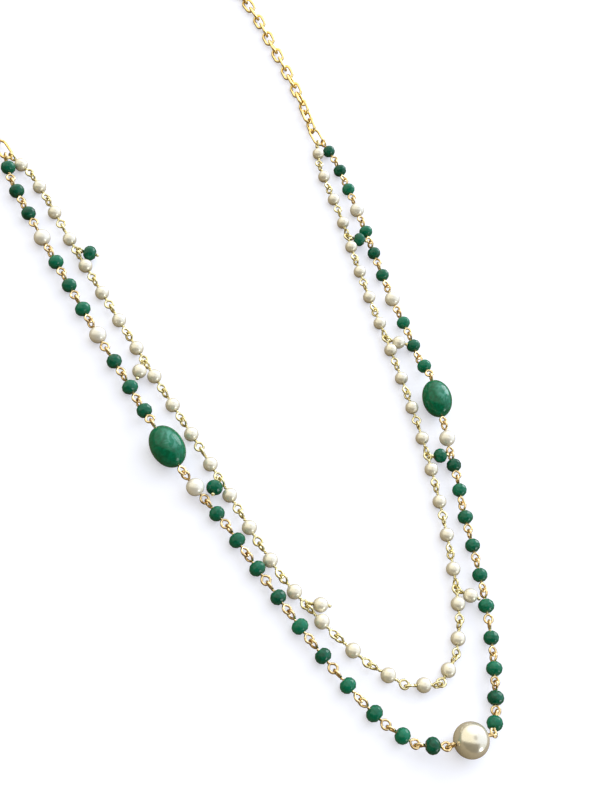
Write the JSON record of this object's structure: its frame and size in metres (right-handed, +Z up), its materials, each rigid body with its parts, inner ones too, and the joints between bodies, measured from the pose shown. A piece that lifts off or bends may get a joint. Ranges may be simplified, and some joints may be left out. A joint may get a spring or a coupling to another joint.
{
  "type": "onyx and pearl bead necklace",
  "caption": "Necklace of a pearl strand and a green onyx strand with small bead charms, both ending on one cable chain with a clasp.",
  "frame": {"origin": "on the surface that the necklace lies on, under the middle of its outline", "axes": "+Z up from the surface, +Y along the necklace's length from the centre pearl towards the clasp, +X to the right seen from above"},
  "size_m": [0.1042, 0.278, 0.008],
  "materials": {
    "pearl": "lustrous cream nacre",
    "large_pearl": "high lustre cream nacre",
    "onyx": "polished soft facets, deep green",
    "oval_onyx": "polished, deep green with cloudy bands",
    "onyx_wire": "polished gold plate",
    "pearl_wire": "polished pale gold plate",
    "chain_gold": "bright gold plate"
  },
  "bodies": {
    "root": {"centre_pearl": "large_pearl", "centre_pearl_pin": "onyx_wire", "clasp_ring": "chain_gold", "clasp": "chain_gold", "oval_bead_left": "oval_onyx", "oval_bead_right": "oval_onyx", "oval_pin_left": "onyx_wire", "oval_pin_right": "onyx_wire", "accent_pins_left": "onyx_wire", "accent_pins_right": "onyx_wire", "onyx_beads_left": "onyx", "onyx_beads_right": "onyx", "onyx_pins_left": "onyx_wire", "onyx_pins_right": "onyx_wire", "pearl_beads_left": "pearl", "pearl_beads_right": "pearl", "pearl_pins_left": "pearl_wire", "pearl_pins_right": "pearl_wire", "chain_left": "chain_gold", "chain_right": "chain_gold", "end_link_left": "chain_gold", "end_link_right": "chain_gold", "accent_pearl_1": "large_pearl", "accent_pearl_2": "large_pearl", "accent_pearl_3": "large_pearl", "accent_pearl_4": "large_pearl", "accent_pearl_5": "large_pearl", "accent_pearl_6": "large_pearl", "charm_bead_1": "onyx", "charm_bead_2": "pearl", "charm_bead_3": "onyx", "charm_bead_4": "pearl", "charm_bead_5": "onyx", "charm_bead_6": "pearl", "charm_bead_7": "onyx", "charm_bead_8": "pearl", "charm_pin_1": "pearl_wire", "charm_pin_2": "pearl_wire", "charm_pin_3": "pearl_wire", "charm_pin_4": "pearl_wire", "charm_pin_5": "pearl_wire", "charm_pin_6": "pearl_wire", "charm_pin_7": "pearl_wire", "charm_pin_8": "pearl_wire"}
  },
  "joints": []
}
